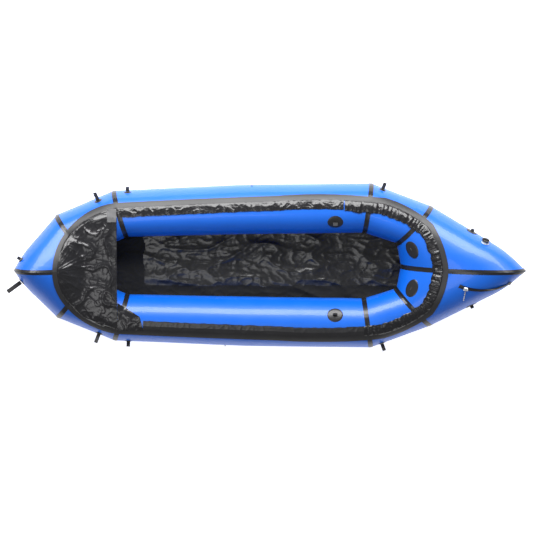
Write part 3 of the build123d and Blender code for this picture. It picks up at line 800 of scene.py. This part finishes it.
mounts = {mount["name"]: mount for mount in record["mounts"]}
patch_grids = {}
for joint in record["behaviour"]["joints"]:
    node = joint["child"]
    if not node.startswith("loop_"):
        continue
    place = node.removeprefix("loop_")
    kind = place if place in PATCHES else place.removesuffix("_starboard").removesuffix("_port")
    half_along, half_across, width = PATCHES[kind]
    pivot, along, stands, swings, reach = fitting_frame(joint, mounts)
    foot = pivot - stands * LOOP_FOOT
    group = "patches_" + PATCH_GROUPS[kind]
    patch = patch_grid(foot, along, swings, stands, (half_along, half_across))
    patch_grids.setdefault(group, []).append(patch)
    strap = loop_grid(pivot, along, stands, swings, width, reach * LOOP_STRETCH.get(place, 1.0))
    grid_piece(f"strap_{place}", [strap], webbing, body=node, nodes=[node],
               thickness=STRAP_THICKNESS, wrap=True, outwards=0.0)
for group, grids in patch_grids.items():
    grid_piece(f"{group}_cloth", grids, patch_cloth, nodes=[group], wrap=True)


# ---------------------------------------------------------------- zip
zip_line = even_line(arc_through(*ZIP_ARC, ZIP_POINTS) + [complex(*ZIP_ARC[-1])], ZIP_STEP)
zip_heading = np.gradient(zip_line)
zip_across = 1j * zip_heading / np.abs(zip_heading)
zip_width = ZIP_TAPE * np.linspace(1, ZIP_TAPER, len(zip_line))
zip_shares = np.linspace(-0.5, 0.5, ZIP_COLUMNS)[None, :]
zip_plan = zip_line[:, None] + (zip_across * zip_width)[:, None] * zip_shares
zip_grid = lay_on_hull(zip_plan, ZIP_LIFT)
zip_band = grid_piece("zip_band", [zip_grid], zip_cloth, nodes=["zip_tape"])

# ---------------------------------------------------------------- finishes of the solid parts
SOLID_FINISHES = {
    "zip_teeth": tooth_plastic, "zip_docks": dock_plastic, "zip_slider": slider_metal,
    "zip_pull": bead_grey, "valve_base": valve_blue, "valve_body": valve_clear,
    "valve_diaphragm": black_rubber, "valve_cap": valve_black, "valve_tether": valve_clear,
    "side_stubs": dock_plastic,
}
for name, finish in SOLID_FINISHES.items():
    for material_slot in frame["nodes"][name].material_slots:
        material_slot.material = finish

# ---------------------------------------------------------------- camera, light and ground
eye = bpy.data.objects.new("eye", bpy.data.cameras.new("eye"))
eye.location = CAMERA_TARGET + CAMERA_REACH * Vector((0, sin(CAMERA_TILT), cos(CAMERA_TILT)))
eye.rotation_euler = (-CAMERA_TILT, 0, 0)
eye.data.lens = CAMERA_LENS
eye.data.clip_end = CAMERA_CLIP
eye.data.sensor_width = CAMERA_SENSOR
bpy.context.scene.collection.objects.link(eye)
bpy.context.scene.camera = eye


def soft_light(name, place, size, power):
    """A broad rectangular lamp that faces the boat."""
    lamp = bpy.data.lights.new(name, "AREA")
    lamp.shape = "RECTANGLE"
    lamp.size, lamp.size_y = size
    lamp.energy = power
    holder = bpy.data.objects.new(name, lamp)
    holder.location = place
    holder.rotation_euler = (LIGHT_AIM - Vector(place)).to_track_quat("-Z", "Y").to_euler()
    bpy.context.scene.collection.objects.link(holder)


soft_light("key", place=(0.0, 3.0, 2.5), size=(5.0, 1.9), power=340)
soft_light("fill", place=(-1.2, -1.4, 4.6), size=(2.0, 2.0), power=34)
sky = bpy.data.worlds.new("studio")
sky.use_nodes = True
background = sky.node_tree.nodes["Background"].inputs
background["Color"].default_value = (1, 1, 1, 1)
background["Strength"].default_value = SKY_STRENGTH
bpy.context.scene.world = sky
bpy.context.scene.view_settings.view_transform = "Standard"

ground_mesh = bpy.data.meshes.new("ground")
ground_corners = [(GROUND * x, GROUND * y, 0) for x, y in ((-1, -1), (1, -1), (1, 1), (-1, 1))]
ground_mesh.from_pydata(ground_corners, [], [(0, 1, 2, 3)])
paper = surface("paper", (0.93, 0.93, 0.93), 0.9, uneven=0.01, grain=50)
glow = paper.node_tree.nodes["Principled BSDF"].inputs
glow["Emission Color"].default_value = (1, 1, 1, 1)
glow["Emission Strength"].default_value = GROUND_GLOW
ground_mesh.materials.append(paper)
ground = bpy.data.objects.new("ground", ground_mesh)
bpy.context.scene.collection.objects.link(ground)
